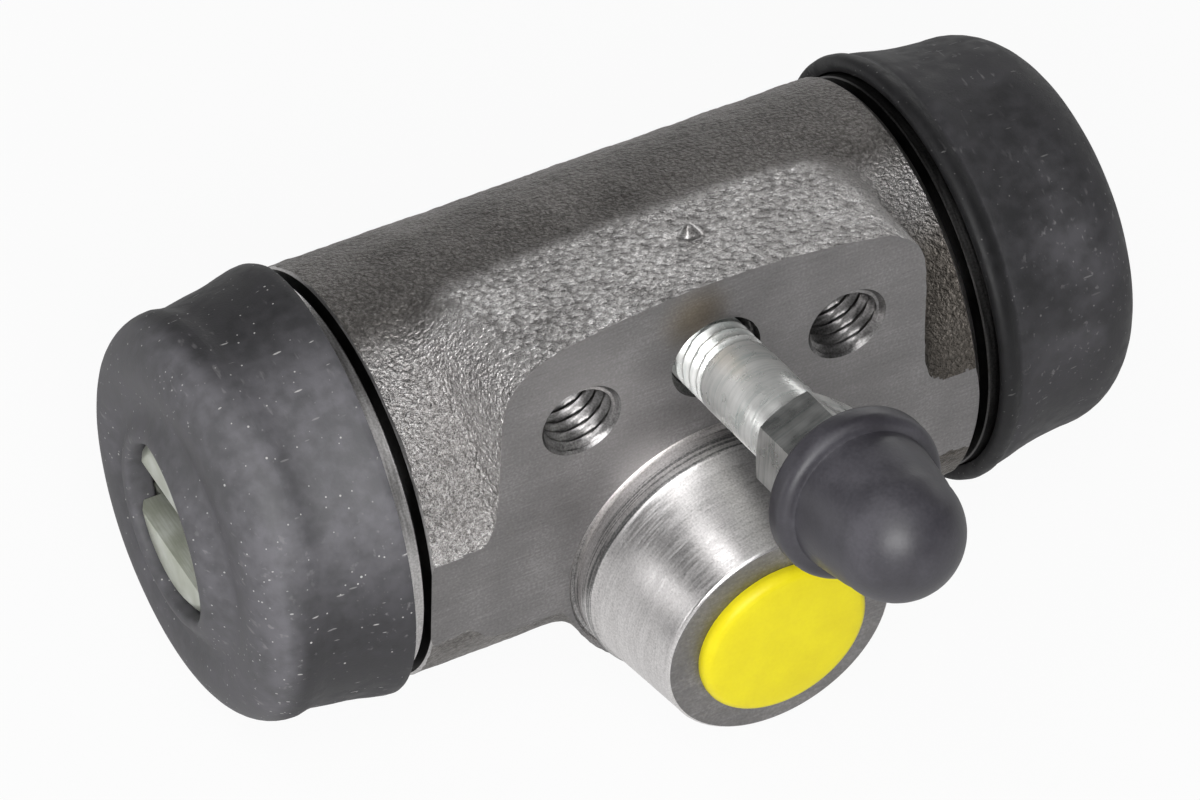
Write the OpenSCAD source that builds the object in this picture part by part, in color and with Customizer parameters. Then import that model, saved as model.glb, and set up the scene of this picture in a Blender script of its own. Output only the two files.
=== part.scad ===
/* Double-ended drum brake wheel cylinder.
   X runs along the bore, the mounting face looks along -Y and the bleed screw is above the pilot boss.
   The origin is where the pilot boss axis meets the mounting face. */

/* [Casting] */
// Outside diameter of the cast barrel
barrel_d = 30.5; // [29:0.1:33]
// Length of the cast barrel between its two shoulders
barrel_l = 44; // [40:0.5:52]
// Bore diameter
bore_d = 19.05; // [17.5:0.05:20.6]
// Distance from the bore axis to the mounting face
face_off = 14.75; // [14:0.05:15]
// How far the pilot boss axis lies below the bore axis
pilot_drop = 3.1; // [2:0.1:4]

/* [Mounting pad] */
// Width of the pad at its upper corners
pad_w = 33; // [31:0.5:36]
// Height of the pad's top edge above the bore axis
pad_rise = 20; // [19.5:0.5:22]
// Radius of the pad's upper corners
pad_corner_r = 3.8; // [2:0.2:5]
// Fall of the pad's top from the mounting face to the barrel, in degrees
pad_slope = 18; // [14:1:20]
// Draft of the pad's side walls, in degrees
pad_draft = 8; // [4:1:12]
// Radius of the inner corners where the pad meets the barrel's flat
pad_foot_r = 2; // [1:0.2:3]

/* [Mounting holes] */
// Distance between the two mounting holes
bolt_spacing = 21; // [19:0.5:23]
// Height of the mounting holes above the bore axis
bolt_rise = 13.2; // [12.8:0.1:13.6]
// Thread diameter of the mounting holes
bolt_d = 6; // [5:0.5:6]
// Depth of the mounting holes
bolt_depth = 9; // [7:0.5:10]

/* [Pilot boss] */
// Diameter of the turned register at the foot of the boss
pilot_d = 21.2; // [20:0.1:22]
// Length of the turned register
pilot_l = 2.2; // [1.5:0.1:3]
// Diameter of the boss at its end
boss_tip_d = 17.8; // [16.6:0.1:18.6]
// Height of the boss over the mounting face
boss_l = 10.5; // [9:0.5:13]
// Thread diameter of the inlet port
port_d = 10; // [8:0.5:11]
// Depth of the inlet thread
port_depth = 9; // [8:0.5:9.5]

/* [Barrel ends] */
// Width of the turned groove beside each shoulder
relief_w = 0.7; // [0.6:0.1:1.2]
// Diameter of the land that the boot's rim sits over
land_d = 29.8; // [29.2:0.1:30.2]
// Depth of the groove that holds the boot's bead
bead_depth = 0.4; // [0.3:0.1:0.8]
// Width of the groove that holds the boot's bead
bead_w = 2.2; // [1.8:0.1:2.6]
// Length of each turned end beyond the shoulder
end_l = 6.6; // [6:0.1:7.2]

/* [Dust boots] */
// Outside diameter of the boot's rim
boot_rim_d = 32; // [31.4:0.1:33]
// Outside diameter of the boot behind its rim
boot_d = 30.2; // [29.8:0.1:30.6]
// Distance from the shoulder to the end of the left boot, which is pushed in a little
reach_left = 12.5; // [12:0.1:13]
// Distance from the shoulder to the end of the right boot
reach_right = 14.8; // [14:0.1:15.4]
// Radius of the left boot's outer end corner
corner_left = 3.6; // [3:0.2:5]
// Radius of the right boot's outer end corner
corner_right = 5; // [3:0.2:5.6]
// Wall thickness of the boot
boot_wall = 1.6; // [1.3:0.1:1.8]
// Diameter of the hole in the boot's end
boot_hole_d = 13; // [12:0.1:13.6]
// Height of the lip round that hole
lip_h = 0.6; // [0.3:0.1:0.9]

/* [Pistons] */
// Length of each piston from its inner end to its nose
piston_l = 24; // [23.4:0.1:24.6]
// Length of the full-diameter part of each piston
skirt_l = 15.5; // [14:0.5:17]
// Diameter of the collar behind the piston's nose
collar_d = 15.6; // [15:0.1:16.4]
// Width of the slot for the brake shoe's web
slot_w = 5; // [4.6:0.1:5.4]
// Depth of the slot
slot_l = 6; // [4.5:0.5:7]
// Depth of the piston's nose below the boot's lip
nose_set = 0.4; // [0.2:0.1:0.8]
// How far the left piston is turned in the bore from having its slot upright, in degrees
slot_turn_left = 90; // [0:5:90]

/* [Return spring] */
// Wire diameter of the return spring
wire_d = 0.9; // [0.7:0.05:1]
// Mean diameter of the return spring's coils
coil_d = 11; // [10:0.2:11.4]
// Number of turns
coil_turns = 6; // [5:1:7]

/* [Bleed screw] */
// Height of the bleed hole above the bore axis, on the mounting face
bleed_rise = 14.65; // [14.3:0.05:14.8]
// Upward tilt of the bleed screw, in degrees
bleed_tilt = 12; // [10:1:13]
// Thread diameter of the bleed screw
bleed_d = 5.9; // [5.6:0.1:6]
// Diameter of the bleed hole's countersunk mouth
bleed_mouth_d = 7; // [6.4:0.1:7.2]
// Depth of the bleed thread in the casting
bleed_depth = 9.4; // [8.6:0.2:9.8]
// Height of the hexagon's foot over the mounting face
hex_foot = 12; // [10:0.5:13]
// Length of the hexagon
hex_l = 6; // [5:0.2:8]
// Width across the hexagon's flats
hex_af = 7; // [6.6:0.1:7.4]
// How far the hexagon is turned from having a flat on top, in degrees
hex_turn = 22; // [0:1:59]
// Diameter of the hose nipple
nipple_d = 4.6; // [4.2:0.1:5]
// Diameter of the nipple's barb
barb_d = 6; // [5.4:0.1:6.2]

/* [Bleed cap] */
// Outside diameter of the cap's rim
cap_rim_d = 12.8; // [12:0.1:13.4]
// Diameter of the cap above its rim
cap_d = 11; // [10.4:0.1:11.6]
// Radius of the cap's domed end
dome_r = 4.75; // [4.4:0.05:4.9]
// Length of the cap
cap_l = 11.4; // [11:0.1:14]

/* [Port plug] */
// Diameter of the plug's head
plug_d = 13.1; // [12.4:0.1:14]
// Thickness of the plug's head
plug_head = 1.3; // [1:0.1:1.8]
// Length of the plug's stem
plug_stem = 6.5; // [5:0.5:7.5]

/* [Fits] */
// Radial running clearance of pistons, cups and screws
run_gap = 0.05; // [0.02:0.01:0.08]
// Gap between pieces that rest on each other
seat_gap = 0.1; // [0.05:0.05:0.2]
// Gap between pieces that move past each other
free_gap = 0.4; // [0.3:0.05:0.6]

/* [Hidden] */
$fn = 96;

cut = 1;
far = 60;
shoulder_x = barrel_l / 2;
end_x = shoulder_x + end_l;
bore_r = bore_d / 2;
relief_x = shoulder_x + relief_w;
bead_lip = 1.9;
bead_x = end_x - bead_lip - bead_w;
boot_slack = 0.2;
end_d = boot_d - 2 * boot_wall - 2 * boot_slack;
bead_d = end_d - 2 * bead_depth;
relief_d = bead_d;
edge = 0.4;

// The flat that the mounting face cuts on the barrel reaches this far above and below the bore axis
flat_half = sqrt(pow(barrel_d / 2, 2) - pow(face_off, 2));

undercut_w = 0.7;
undercut_d = pilot_d + 2 * undercut_w;
undercut = 0.4;
undercut_neck = 0.2;
boss_neck_d = pilot_d - 0.6;
foot_d = undercut_d + 0.5;
port_bottom = boss_l - port_depth;
port_seat_l = 2.4;
passage_d = 3;

thread_gap = run_gap;
bleed_seat_l = 2;
bleed_passage_d = 2;
bleed_passage_l = 3;
bleed_run = bleed_depth + bleed_seat_l + bleed_passage_l;

rim_x = relief_x + 0.45;
boot_hole_r = boot_hole_d / 2;
rim_l = 3.2;

// Along each piston, measured outwards from its inner end; the cup and the spring seat lie behind that end
nose_l = lip_h + boot_wall + free_gap + 0.6 - nose_set;
collar_end = piston_l - nose_l;
nose_d = boot_hole_d - 2 * seat_gap;
cup_l = 4.2;
cup_base = 1.6;
cup_end = -seat_gap;
cup_r = bore_r - run_gap;
cup_lip = 1.7;
seat_end = cup_end - cup_base - seat_gap;
seat_plate = 0.8;
seat_boss_l = 1.6;
seat_r = cup_r - cup_lip - seat_gap;
spring_boss_d = coil_d - wire_d - 2 * free_gap;
spring_end = seat_end - seat_plate - seat_gap - wire_d / 2;

// Where each piston's inner end stands, as a distance from mid-length
in_left = shoulder_x + reach_left + lip_h - nose_set - piston_l;
in_right = shoulder_x + reach_right + lip_h - nose_set - piston_l;

bleed_tip = bleed_depth + bleed_seat_l - free_gap;
hex_end = hex_foot + hex_l;
cap_foot = hex_end + free_gap;
cap_end = cap_foot + cap_l;
dome_c = cap_end - dome_r;
rim_h = 2.4;
cap_top = 3;
nipple_end = cap_end - cap_top;
barb_l = 3.2;
barb_land = 1;
cap_bore_d = barb_d + 2 * run_gap;

// Stands a shape that was turned about Z on the bore axis, pointing along X
module on_bore() {
    translate([0, face_off, pilot_drop]) rotate([0, 90, 0]) children();
}

// Stands a shape on the pilot axis, with Z pointing out of the mounting face
module on_pilot() {
    rotate([90, 0, 0]) children();
}

// Stands a shape on the bleed axis, with Z pointing out and 0 on the mounting face
module on_bleed() {
    translate([0, 0, pilot_drop + bleed_rise]) rotate([90 - bleed_tilt, 0, 0]) children();
}

// The cast barrel with both turned ends: relief, land, bead groove and end
module barrel() {
    r = barrel_d / 2;
    on_bore() rotate_extrude() polygon([
        [0, -end_x], [end_d / 2 - edge, -end_x], [end_d / 2, -end_x + edge], [end_d / 2, -bead_x - bead_w],
        [bead_d / 2, -bead_x - bead_w], [bead_d / 2, -bead_x], [land_d / 2, -bead_x], [land_d / 2, -relief_x],
        [relief_d / 2, -relief_x], [relief_d / 2, -shoulder_x], [r - edge, -shoulder_x],
        [r, -shoulder_x + edge], [r, shoulder_x - edge], [r - edge, shoulder_x], [relief_d / 2, shoulder_x],
        [relief_d / 2, relief_x], [land_d / 2, relief_x], [land_d / 2, bead_x], [bead_d / 2, bead_x],
        [bead_d / 2, bead_x + bead_w], [end_d / 2, bead_x + bead_w], [end_d / 2, end_x - edge],
        [end_d / 2 - edge, end_x], [0, end_x]]);
}

// One half of the pad's outline, with its rounded upper corner at the origin
module pad_outline() {
    difference() {
        translate([-pad_w / 2 - 2, -pad_rise]) square([pad_w / 2 + 2, pad_rise]);
        difference() {
            translate([-pad_corner_r, -pad_corner_r]) square(pad_corner_r + cut);
            translate([-pad_corner_r, -pad_corner_r]) circle(pad_corner_r);
        }
    }
}

// One half of the cast pad, drafted at the side and falling to the barrel at the top
module pad_half() {
    translate([pad_w / 2, 0, pilot_drop + pad_rise]) rotate([-pad_slope, 0, 0]) rotate([0, 0, -pad_draft])
        rotate([90, 0, 0]) translate([0, 0, -1.1 * face_off]) linear_extrude(1.8 * face_off) pad_outline();
}

// Fills the inner corner between the pad's side and the barrel's flat
module pad_foot() {
    x = pad_w / 2 + 0.2;
    z = flat_half - 0.2;
    translate([0, 0, pilot_drop]) rotate([-90, 0, 0]) linear_extrude(2.5) mirror([0, 1]) difference() {
        translate([x - 1, z - 1]) square(pad_foot_r + 1);
        translate([x + pad_foot_r, z + pad_foot_r]) circle(pad_foot_r + 0.05);
    }
}

module pilot_boss() {
    on_pilot() rotate_extrude() polygon([
        [0, -cut], [pilot_d / 2 - undercut_neck, -cut], [pilot_d / 2 - undercut_neck, 0], [pilot_d / 2, 0],
        [pilot_d / 2, pilot_l], [boss_neck_d / 2, pilot_l + 0.3], [boss_tip_d / 2, boss_l - edge],
        [boss_tip_d / 2 - edge / 2, boss_l], [0, boss_l]]);
}

module bolt_hole() {
    translate([0, 0, pilot_drop + bolt_rise]) rotate([-90, 0, 0]) rotate_extrude() polygon([
        [0, -cut], [bolt_d / 2 + 0.3, -cut], [bolt_d / 2 + 0.3, 0], [bolt_d / 2, 0.3], [bolt_d / 2, bolt_depth],
        [0, bolt_depth + 1.7]]);
}

module bleed_hole() {
    hole_r = bleed_d / 2 + thread_gap;
    on_bleed() rotate_extrude() polygon([
        [0, 2], [bleed_mouth_d / 2, 2], [bleed_mouth_d / 2, -0.9], [hole_r, -1.4], [hole_r, -bleed_depth],
        [bleed_passage_d / 2, -bleed_depth - bleed_seat_l], [bleed_passage_d / 2, -bleed_run],
        [0, -bleed_run - 0.6]]);
    translate([0, bleed_run * cos(bleed_tilt) - 0.6, pilot_drop + bore_r - cut])
        cylinder(d = bleed_passage_d - 0.2, h = bleed_rise - bleed_run * sin(bleed_tilt) - bore_r + cut);
}

module inlet_port() {
    on_pilot() rotate_extrude() polygon([
        [0, boss_l + cut], [port_d / 2 + 0.5, boss_l + cut], [port_d / 2 + 0.5, boss_l], [port_d / 2, boss_l - 0.5],
        [port_d / 2, port_bottom], [passage_d / 2, port_bottom - port_seat_l], [passage_d / 2, -face_off / 2],
        [0, -face_off / 2]]);
}

module bore_cut() {
    mouth = bore_r + 0.6;
    on_bore() rotate_extrude() polygon([
        [0, -end_x - cut], [mouth, -end_x - cut], [mouth, -end_x], [bore_r, -end_x + 0.6], [bore_r, end_x - 0.6],
        [mouth, end_x], [mouth, end_x + cut], [0, end_x + cut]]);
}

module cylinder_body() {
    color("dimgray") difference() {
        union() {
            difference() {
                union() {
                    barrel();
                    pad_half();
                    mirror([1, 0, 0]) pad_half();
                    pad_foot();
                    mirror([1, 0, 0]) pad_foot();
                    rotate([-90, 0, 0]) cylinder(d1 = foot_d, d2 = foot_d + 1, h = face_off - 2);
                }
                translate([-far, -far, -far]) cube([2 * far, far, 2 * far]);
                on_pilot() translate([0, 0, -undercut]) cylinder(d = undercut_d, h = undercut + cut);
            }
            pilot_boss();
        }
        bore_cut();
        for (side = [-1, 1]) translate([side * bolt_spacing / 2, 0, 0]) bolt_hole();
        bleed_hole();
        inlet_port();
    }
}

// Places a piece of the left or right piston's stack, with Z pointing outwards from the piston's inner end
module on_left() {
    mirror([1, 0, 0]) on_bore() translate([0, 0, in_left]) children();
}

module on_right() {
    on_bore() translate([0, 0, in_right]) children();
}

module piston() {
    skirt_r = bore_r - run_gap;
    difference() {
        rotate_extrude() polygon([
            [0, 0], [skirt_r - edge, 0], [skirt_r, edge], [skirt_r, skirt_l - edge], [skirt_r - edge, skirt_l],
            [collar_d / 2, skirt_l], [collar_d / 2, collar_end - edge], [collar_d / 2 - edge, collar_end],
            [nose_d / 2, collar_end], [nose_d / 2, piston_l - 0.6], [nose_d / 2 - 0.8, piston_l],
            [0, piston_l]]);
        translate([-collar_d, -slot_w / 2, piston_l - slot_l]) cube([2 * collar_d, slot_w, slot_l + cut]);
    }
}

module piston_left() {
    color("darkkhaki") on_left() rotate([0, 0, slot_turn_left]) piston();
}

module piston_right() {
    color("darkkhaki") on_right() piston();
}

module cup_seal() {
    rotate_extrude() polygon([
        [0, cup_end], [cup_r - 0.5, cup_end], [cup_r - 0.3, cup_end - cup_base], [cup_r, cup_end - cup_l + 0.5],
        [cup_r - 0.6, cup_end - cup_l], [cup_r - cup_lip, cup_end - cup_base], [0, cup_end - cup_base]]);
}

module cup_seal_left() {
    color([0.12, 0.12, 0.13]) on_left() cup_seal();
}

module cup_seal_right() {
    color([0.12, 0.12, 0.13]) on_right() cup_seal();
}

module spring_seat() {
    plate_end = seat_end - seat_plate;
    rotate_extrude() polygon([
        [0, seat_end], [seat_r - 0.3, seat_end], [seat_r, plate_end], [spring_boss_d / 2, plate_end],
        [spring_boss_d / 2 - 0.3, plate_end - seat_boss_l], [0, plate_end - seat_boss_l]]);
}

module spring_seat_left() {
    color("silver") on_left() spring_seat();
}

module spring_seat_right() {
    color("silver") on_right() spring_seat();
}

// Each turn is two half rings, tilted so that they climb half a pitch each
module return_spring() {
    start = -in_left - spring_end;
    pitch = (in_right + spring_end - start) / coil_turns;
    tilt = asin(pitch / 2 / coil_d);
    color("lightsteelblue") on_bore() for (half = [0 : 2 * coil_turns - 1]) {
        z = start + (half + 0.5) * pitch / 2;
        way = half % 2 == 0 ? 1 : -1;
        translate([0, 0, z]) rotate([0, way * tilt, 0]) rotate([0, 0, way > 0 ? 0 : 180])
            rotate_extrude(angle = 180) translate([coil_d / 2, 0]) circle(d = wire_d, $fn = 24);
        if (half > 0) translate([way * coil_d / 2 * cos(tilt), 0, z - pitch / 4])
            sphere(d = wire_d * 1.04, $fn = 24);
    }
}

// Section of a boot that ends at end_x: rim and bead in the groove, wall, rounded end and the hole for the nose
module boot_section(end_x, corner_r) {
    r = boot_d / 2;
    inner_r = corner_r - boot_wall;
    wall_r = r - boot_wall;
    corner_x = end_x - corner_r;
    bead_end = bead_x + bead_w - seat_gap;
    difference() {
        union() {
            polygon([
                [0, rim_x], [boot_rim_d / 2 - edge, rim_x], [boot_rim_d / 2, rim_x + edge],
                [boot_rim_d / 2, rim_x + 1], [r, rim_x + rim_l], [r, corner_x], [r - corner_r, corner_x],
                [r - corner_r, end_x], [boot_hole_r + 2, end_x], [boot_hole_r + 0.7, end_x + lip_h],
                [0, end_x + lip_h]]);
            translate([r - corner_r, corner_x]) circle(corner_r);
        }
        translate([0, rim_x - cut]) square([land_d / 2 + seat_gap, bead_x - rim_x + cut + seat_gap]);
        translate([0, rim_x]) square([bead_d / 2 + seat_gap, bead_end - rim_x + cut]);
        translate([0, bead_end]) square([wall_r, corner_x - bead_end]);
        translate([0, corner_x - cut]) square([wall_r - inner_r, inner_r + cut]);
        translate([wall_r - inner_r, corner_x]) circle(inner_r);
        square([boot_hole_r, end_x + lip_h + cut]);
    }
}

module dust_boot_left() {
    color([0.2, 0.2, 0.21]) mirror([1, 0, 0]) on_bore() rotate_extrude()
        boot_section(shoulder_x + reach_left, corner_left);
}

module dust_boot_right() {
    color([0.2, 0.2, 0.21]) on_bore() rotate_extrude() boot_section(shoulder_x + reach_right, corner_right);
}

module bleed_screw() {
    r = bleed_d / 2;
    corner_r = hex_af / 2 / cos(30);
    color("gainsboro") on_bleed() difference() {
        union() {
            rotate_extrude() polygon([
                [0, -bleed_tip], [bleed_passage_d / 2, -bleed_tip], [r - 0.4, -bleed_depth],
                [r, -bleed_depth + 0.4], [r, hex_foot + cut], [0, hex_foot + cut]]);
            intersection() {
                translate([0, 0, hex_foot]) rotate([0, 0, hex_turn]) cylinder(r = corner_r, h = hex_l, $fn = 6);
                rotate_extrude() polygon([
                    [0, hex_foot], [hex_af / 2, hex_foot], [corner_r + 0.1, hex_foot + 0.5],
                    [corner_r + 0.1, hex_end - 0.5], [hex_af / 2, hex_end], [0, hex_end]]);
            }
            rotate_extrude() polygon([
                [0, hex_end - cut], [nipple_d / 2, hex_end - cut], [nipple_d / 2, nipple_end - barb_l],
                [barb_d / 2, nipple_end - barb_l + edge], [barb_d / 2, nipple_end - barb_l + edge + barb_land],
                [nipple_d / 2, nipple_end],
                [0, nipple_end]]);
        }
        translate([0, 0, -bleed_depth + 1.5]) cylinder(d = 1.6, h = nipple_end + bleed_depth);
        translate([-bleed_d, 0, -bleed_depth + 1.5]) rotate([0, 90, 0]) cylinder(d = 1.4, h = 2 * bleed_d);
    }
}

module bleed_cap() {
    color([0.2, 0.19, 0.22]) on_bleed() rotate_extrude() difference() {
        union() {
            polygon([
                [0, cap_foot + 0.4], [cap_d / 2, cap_foot + 0.4], [cap_d / 2, cap_foot + rim_h],
                [dome_r, dome_c], [0, dome_c]]);
            translate([cap_rim_d / 2 - rim_h / 2, cap_foot + rim_h / 2]) circle(rim_h / 2);
            translate([0, cap_foot]) square([cap_rim_d / 2 - rim_h / 2, rim_h]);
            intersection() {
                translate([0, dome_c]) circle(dome_r);
                translate([0, dome_c - cut]) square(2 * dome_r);
            }
        }
        translate([0, cap_foot - cut]) square([cap_bore_d / 2, nipple_end - cap_foot + cut + free_gap]);
    }
}

module port_plug() {
    stem_r = port_d / 2 - run_gap;
    wall = 1.2;
    bevel = 1.2;
    head_z = boss_l + seat_gap;
    color("gold") on_pilot() difference() {
        rotate_extrude() polygon([
            [0, head_z - plug_stem], [stem_r - 0.6, head_z - plug_stem], [stem_r, head_z - plug_stem + 1],
            [stem_r, head_z - 0.7], [stem_r - 0.4, head_z], [plug_d / 2 - 0.2, head_z], [plug_d / 2, head_z + 0.4],
            [plug_d / 2 - 0.3, head_z + plug_head - 0.35], [plug_d / 2 - bevel, head_z + plug_head],
            [0, head_z + plug_head]]);
        translate([0, 0, head_z - plug_stem - cut]) cylinder(r = stem_r - wall, h = plug_stem + cut);
    }
}

cylinder_body();
piston_left();
piston_right();
cup_seal_left();
cup_seal_right();
spring_seat_left();
spring_seat_right();
return_spring();
dust_boot_left();
dust_boot_right();
bleed_screw();
bleed_cap();
port_plug();
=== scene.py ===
"""Drum brake wheel cylinder on a white table: cast body, boots, pistons, capped bleed screw and port plug."""
import math

import bpy
from mathutils import Matrix, Vector


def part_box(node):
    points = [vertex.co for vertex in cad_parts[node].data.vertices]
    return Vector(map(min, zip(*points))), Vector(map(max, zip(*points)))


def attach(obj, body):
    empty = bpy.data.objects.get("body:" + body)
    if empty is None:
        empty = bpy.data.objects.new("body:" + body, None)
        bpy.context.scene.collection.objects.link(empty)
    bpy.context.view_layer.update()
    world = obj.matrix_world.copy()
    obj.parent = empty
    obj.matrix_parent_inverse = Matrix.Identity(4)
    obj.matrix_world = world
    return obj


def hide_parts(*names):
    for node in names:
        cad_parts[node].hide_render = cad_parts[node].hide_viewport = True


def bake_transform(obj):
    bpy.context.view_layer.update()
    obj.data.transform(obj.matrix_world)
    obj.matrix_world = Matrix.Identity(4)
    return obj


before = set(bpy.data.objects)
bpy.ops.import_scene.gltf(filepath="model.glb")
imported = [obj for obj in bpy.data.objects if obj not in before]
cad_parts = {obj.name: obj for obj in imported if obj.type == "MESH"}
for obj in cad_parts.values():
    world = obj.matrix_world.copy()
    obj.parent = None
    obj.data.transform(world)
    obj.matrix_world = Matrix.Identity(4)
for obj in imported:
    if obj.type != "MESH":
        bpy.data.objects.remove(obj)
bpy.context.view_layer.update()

# Camera: a long lens that looks down on the mounting face from the left end.
# It is aimed at the middle of the bore, which lies a little off the middle of the picture.
mm = 0.001
bore_middle = Vector((0, 14.75, 3.1)) * mm
azimuth, elevation, roll = (math.radians(angle) for angle in (29.83, 45.11, 2.06))
eye_distance = 593.95 * mm
aim_right, aim_up = -0.646 * mm, -1.951 * mm
level = math.cos(elevation)
view_back = Vector((-math.sin(azimuth) * level, -math.cos(azimuth) * level, math.sin(elevation)))
level_right = Vector((math.cos(azimuth), -math.sin(azimuth), 0))
level_up = view_back.cross(level_right)
view_right = math.cos(roll) * level_right + math.sin(roll) * level_up
view_up = math.cos(roll) * level_up - math.sin(roll) * level_right
eye = bore_middle + aim_right * view_right + aim_up * view_up + eye_distance * view_back
bpy.ops.object.select_all(action="DESELECT")
bpy.ops.object.camera_add()
camera = bpy.context.object
camera.name = "camera"
camera.matrix_world = Matrix.Translation(eye) @ Matrix((view_right, view_up, view_back)).transposed().to_4x4()
camera.data.sensor_width = 36
camera.data.lens = 249.45
camera.data.clip_start = 0.02
bpy.context.scene.camera = camera
bpy.context.scene.view_settings.view_transform = "Standard"


# Table and light: a wide white table that shows a faint shadow, under soft lamps in a pale room.
# Two lamps stand beside and over the camera, and pale panels above, behind and at both ends light the metal.
class Field:
    """A number, colour or vector that varies over a surface, held in a node's output socket."""

    def __init__(self, socket):
        self.socket = socket

    def node(self, kind, inputs, output=0, stops=None, **settings):
        """Adds a node to the same material: its settings first, then the values or links of its sockets."""
        tree = self.socket.id_data
        made = tree.nodes.new(kind)
        for name, value in settings.items():
            setattr(made, name, value)
        if stops:
            ramp = made.color_ramp.elements
            while len(ramp) < len(stops):
                ramp.new(1)
            for element, (position, shade) in zip(ramp, stops):
                element.position = position
                element.color = (*shade, 1) if isinstance(shade, tuple) else (shade, shade, shade, 1)
        for name, value in inputs.items():
            if isinstance(value, Field):
                tree.links.new(value.socket, made.inputs[name])
            else:
                made.inputs[name].default_value = value
        return Field(made.outputs[output]) if made.outputs else None

    def math(self, operation, other, first=None):
        """Works this out with another value, or with a first value in its own place."""
        first = self if first is None else first
        return self.node("ShaderNodeMath", {0: first, 1: other}, operation=operation)

    def __add__(self, other):
        return self.math("ADD", other)

    def __mul__(self, other):
        return self.math("MULTIPLY", other)

    def __sub__(self, other):
        return self.math("SUBTRACT", other)

    def __rsub__(self, other):
        return self.math("SUBTRACT", self, first=other)

    def __pow__(self, other):
        return self.math("POWER", other)

    def between(self, low, high, start=0.0, end=1.0):
        """Goes smoothly from start, where this is low, to end, where it is high."""
        places = {"Value": self, "From Min": low, "From Max": high, "To Min": start, "To Max": end}
        return self.node("ShaderNodeMapRange", places, interpolation_type="SMOOTHSTEP")

    def blend(self, other, amount, way="MIX"):
        """This colour with another over it, by an amount from 0 to 1."""
        colours = {0: amount, 6: self, 7: other}
        return self.node("ShaderNodeMix", colours, output=2, data_type="RGBA", blend_type=way)


def rays(tree):
    """Whether a ray comes from the camera or through something clear, and whether it is mirrored."""
    path = tree.nodes.new("ShaderNodeLightPath").outputs
    seen = Field(path["Is Camera Ray"]).math("MAXIMUM", Field(path["Is Transmission Ray"]))
    return seen, Field(path["Is Glossy Ray"])


white = (1, 1, 1, 1)
floor_z = -13.0 * mm
bpy.ops.object.select_all(action="DESELECT")
bpy.ops.mesh.primitive_plane_add(size=8, location=(0, 0, floor_z))
table = bpy.context.object
table.name = "table"
bpy.ops.object.transform_apply(location=True, rotation=True, scale=True)
table_white = bpy.data.materials.new("table_white")
table_white.use_nodes = True
tree = table_white.node_tree
tree.nodes.clear()
seen, mirrored = rays(tree)
whiteness = (seen * 0.94).math("MAXIMUM", mirrored * 0.5)
matt = seen.node("ShaderNodeBsdfDiffuse", {"Color": (0.62, 0.62, 0.62, 1)})
glow = seen.node("ShaderNodeEmission", {"Color": white, "Strength": 1.0})
surface = seen.node("ShaderNodeMixShader", {0: whiteness, 1: matt, 2: glow})
surface.node("ShaderNodeOutputMaterial", {"Surface": surface})
table.data.materials.append(table_white)

room = bpy.data.worlds.new("room")
bpy.context.scene.world = room
room.use_nodes = True
tree = room.node_tree
tree.nodes.clear()
seen, mirrored = rays(tree)
pale = seen.node("ShaderNodeBackground", {"Color": (0.98, 0.99, 1, 1), "Strength": mirrored * 0.02 + 0.05})
bright = seen.node("ShaderNodeBackground", {"Color": white, "Strength": 1.0})
surface = seen.node("ShaderNodeMixShader", {0: seen, 1: pale, 2: bright})
surface.node("ShaderNodeOutputWorld", {"Surface": surface})


def add_lamp(name, direction, distance, width, height, watts):
    """A flat soft lamp at a distance in metres from the bore's middle, turned towards it."""
    direction = Vector(direction).normalized()
    bpy.ops.object.select_all(action="DESELECT")
    bpy.ops.object.light_add(type="AREA", location=bore_middle + distance * direction)
    lamp = bpy.context.object
    lamp.name = name
    lamp.rotation_euler = direction.to_track_quat("Z", "Y").to_euler()
    lamp.data.shape = "RECTANGLE"
    lamp.data.size, lamp.data.size_y = width, height
    lamp.data.energy = watts
    lamp.visible_camera = False


add_lamp("front_lamp", (-0.42, -0.76, 0.50), 0.5, 0.3, 0.22, 2.1)
add_lamp("upper_lamp", (-0.25, -0.45, 0.86), 0.5, 0.4, 0.3, 0.9)
add_lamp("top_panel", (-0.42, 0.28, 0.86), 0.9, 0.3, 0.16, 0.8)
add_lamp("back_panel", (0.55, 0.81, 0.20), 0.9, 0.65, 0.16, 1.2)
add_lamp("left_panel", (-0.93, 0.32, 0.16), 0.9, 0.5, 0.34, 1.2)
add_lamp("right_panel", (0.92, 0.27, 0.26), 0.9, 0.4, 0.3, 0.7)


# Cast body: one grey iron casting, a barrel with a drafted pad in front of it and a round foot for the boss.
# Sand leaves a pebbled skin. The mounting face, both ends, the boss and the holes are cut into it afterwards.
def focus(piece):
    """Makes one piece the only selected and active one."""
    bpy.ops.object.select_all(action="DESELECT")
    piece.select_set(True)
    bpy.context.view_layer.objects.active = piece


def pick(piece, mode, wanted):
    """Goes into edit mode with only the wanted edges, by middle and direction, or corners, by place."""
    focus(piece)
    bpy.ops.object.mode_set(mode="EDIT")
    bpy.ops.mesh.select_mode(type=mode)
    bpy.ops.mesh.select_all(action="DESELECT")
    bpy.ops.object.mode_set(mode="OBJECT")
    mesh = piece.data
    if mode == "EDGE":
        for edge in mesh.edges:
            start, end = (mesh.vertices[index].co for index in edge.vertices)
            edge.select = wanted((start + end) / 2 / mm, (end - start).normalized())
    else:
        for corner in mesh.vertices:
            corner.select = wanted(corner.co / mm)
    bpy.ops.object.mode_set(mode="EDIT")


def apply_modifier(piece, kind, **settings):
    """Adds one modifier to a piece and applies it."""
    focus(piece)
    modifier = piece.modifiers.new(kind.lower(), kind)
    for name, value in settings.items():
        setattr(modifier, name, value)
    bpy.ops.object.modifier_apply(modifier=modifier.name)


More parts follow.
